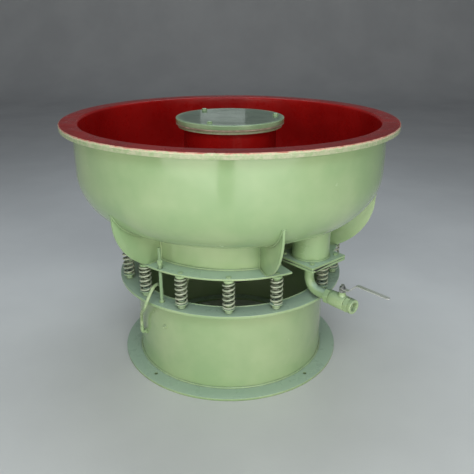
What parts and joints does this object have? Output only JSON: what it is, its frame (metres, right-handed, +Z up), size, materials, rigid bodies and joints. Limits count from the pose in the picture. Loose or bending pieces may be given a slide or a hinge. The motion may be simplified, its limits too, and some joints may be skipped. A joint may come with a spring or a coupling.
{
  "type": "vibratory rock tumbler",
  "caption": "Vibratory bowl tumbler: an annular lined steel bowl with a covered centre column, carried on coil springs over a round base drum, with a drain valve.",
  "frame": {"origin": "centre of the floor flange's underside, on the machine's axis, at floor level", "axes": "+Z up along the machine's axis, -Y towards the side with the drain valve at its right"},
  "size_m": [1.1998, 1.2, 0.935],
  "materials": {
    "green_paint": "glossy enamel",
    "spring_paint": "satin enamel",
    "fasteners": "painted over",
    "liner": "glossy cast polyurethane",
    "gasket": "matt",
    "stainless": "satin",
    "lever_steel": "satin",
    "valve_seat": "smooth",
    "motor_iron": "painted casting",
    "bearing_steel": "ground",
    "core_steel": "machined",
    "windings": "varnished copper",
    "weight_steel": "rough cast",
    "lead_jacket": "painted over"
  },
  "bodies": {
    "base": {"base_floor_flange": "green_paint", "base_drum": "green_paint", "base_top_ring": "green_paint", "lower_spring_seats": "green_paint", "lower_seat_bolts": "fasteners", "support_springs": "spring_paint", "limit_studs": "green_paint", "earth_bolt": "fasteners", "lead_entry_elbow": "green_paint", "junction_box": "green_paint", "junction_box_lid": "green_paint", "motor_lead": "lead_jacket"},
    "bowl": {"bowl_shell": "green_paint", "bowl_liner": "liner", "rim_flange": "green_paint", "column_head_ring": "green_paint", "cover_gasket": "gasket", "column_cover": "green_paint", "cover_bolts": "fasteners", "bowl_skirt": "green_paint", "spring_flange": "green_paint", "gusset_fin_1": "green_paint", "gusset_fin_2": "green_paint", "gusset_fin_3": "green_paint", "gusset_fin_4": "green_paint", "gusset_fin_5": "green_paint", "gusset_fin_6": "green_paint", "upper_spring_seats": "green_paint", "upper_seat_bolts": "fasteners", "drain_sump": "green_paint", "drain_strainer": "stainless", "sump_gasket": "gasket", "sump_plate": "green_paint", "sump_bolts": "fasteners", "drain_elbow": "green_paint", "valve_body": "green_paint", "valve_end_cap": "green_paint", "valve_seats": "valve_seat", "valve_packing_nut": "fasteners", "motor_seat_plate": "green_paint", "motor_housing": "motor_iron", "motor_mount_bolts": "fasteners", "motor_end_bells": "motor_iron", "bearing_outer_rings": "bearing_steel", "stator_core": "core_steel", "stator_windings": "windings", "terminal_box": "green_paint", "terminal_box_lid": "green_paint", "motor_lead_gland": "fasteners"},
    "shaft": {"motor_shaft": "core_steel", "rotor_core": "core_steel", "bearing_inner_rings": "bearing_steel", "upper_weight": "weight_steel", "upper_clamp_bolt": "fasteners"},
    "lead_weight": {"lower_weight": "weight_steel", "lower_clamp_bolt": "fasteners"},
    "handle": {"valve_stem": "stainless", "valve_lever": "lever_steel", "lever_nut": "fasteners"},
    "ball": {"valve_ball": "stainless"}
  },
  "joints": [
    {"name": "bowl_bounce", "type": "slide", "parent": "base", "child": "bowl", "axis": [0, 0, 1], "range_m": [-0.004, 0.004], "stiffness_N_per_m": 1905000, "springref_m": 0.00215, "deforming": ["support_springs", "motor_lead"]},
    {"name": "shaft_spin", "type": "hinge", "parent": "bowl", "child": "shaft", "pos_m": [0, 0, 0.59], "axis": [0, 0, 1], "continuous": true},
    {"name": "weight_lead_angle", "type": "hinge", "parent": "shaft", "child": "lead_weight", "pos_m": [0, 0, 0.35], "axis": [0, 0, 1], "range_deg": [-90, 90]},
    {"name": "valve_handle", "type": "hinge", "parent": "bowl", "child": "handle", "pos_m": [0.37583, -0.37735, 0.366], "axis": [0, 0, -1], "range_deg": [0, 90]},
    {"name": "ball_turn", "type": "hinge", "parent": "bowl", "child": "ball", "pos_m": [0.37583, -0.37735, 0.366], "axis": [0, 0, -1], "range_deg": [0, 90]}
  ],
  "couplings": [
    {"joint": "ball_turn", "follows": "valve_handle", "ratio": 1}
  ]
}
